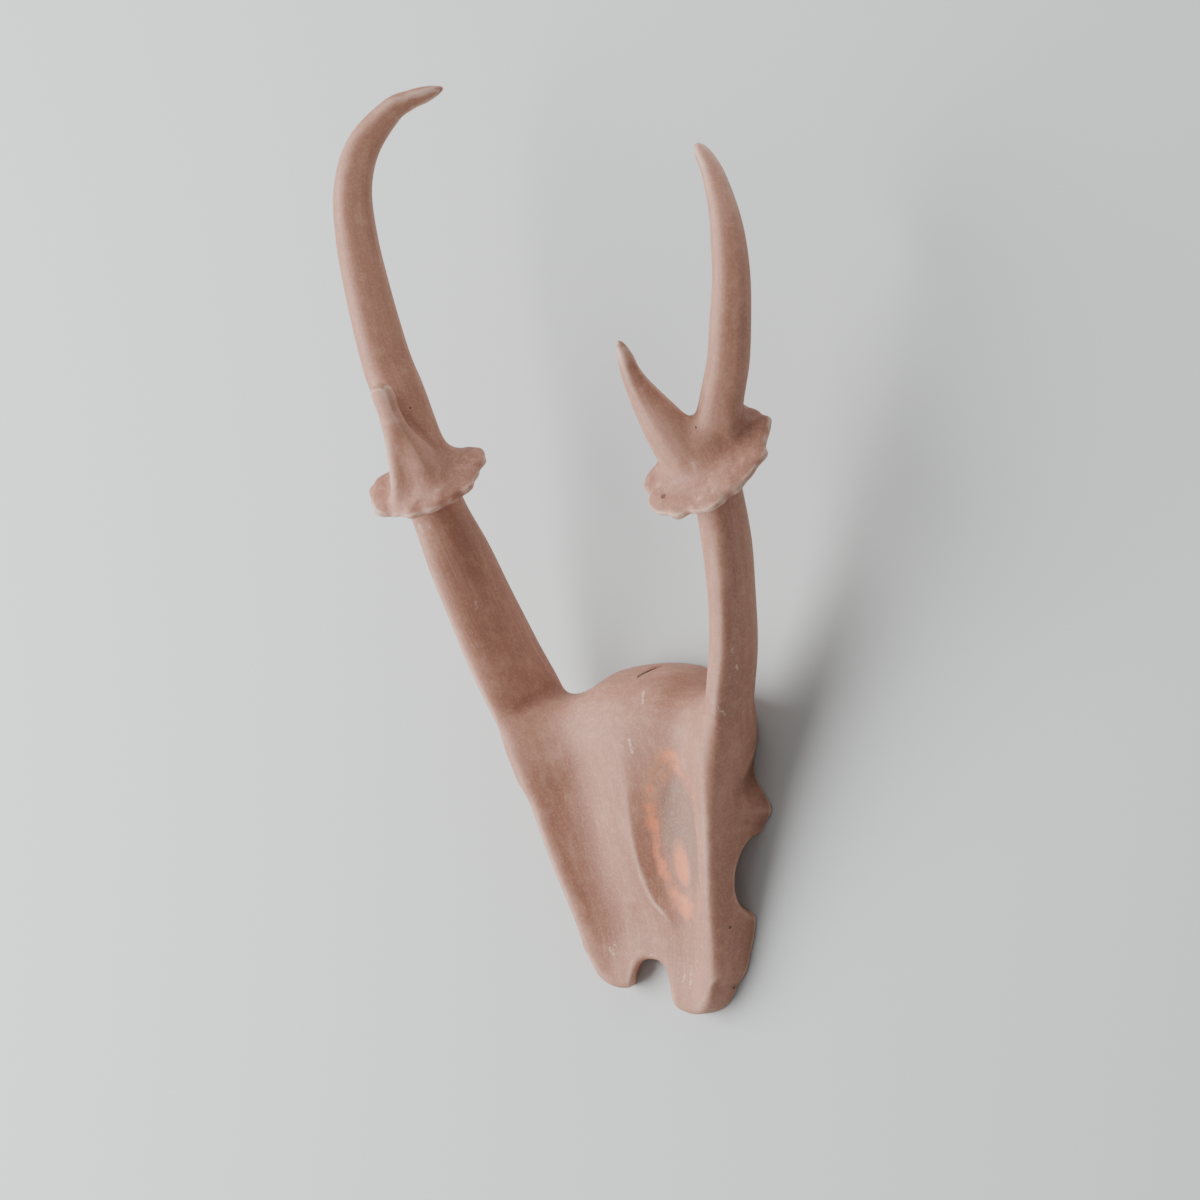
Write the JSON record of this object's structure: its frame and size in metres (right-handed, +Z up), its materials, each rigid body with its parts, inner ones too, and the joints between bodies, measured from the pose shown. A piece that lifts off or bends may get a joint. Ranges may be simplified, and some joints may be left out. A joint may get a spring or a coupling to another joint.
{
  "type": "deer skull cap",
  "caption": "Small deer's sawn-off skull cap with long pedicles, ragged burrs, brow tines and hooked antlers, in matt pinkish clay; lies on its sawn face.",
  "frame": {"origin": "on the ground under the middle of the bounding box", "axes": "+Z up out of the sawn face, +Y from the nose end to the antlers, +X to the animal's left"},
  "size_m": [0.1288, 0.2396, 0.0685],
  "materials": {
    "clay": "matt, unglazed, fine-grained"
  },
  "bodies": {
    "root": {"skull_cap": "clay", "left_antler": "clay", "right_antler": "clay"}
  },
  "joints": []
}
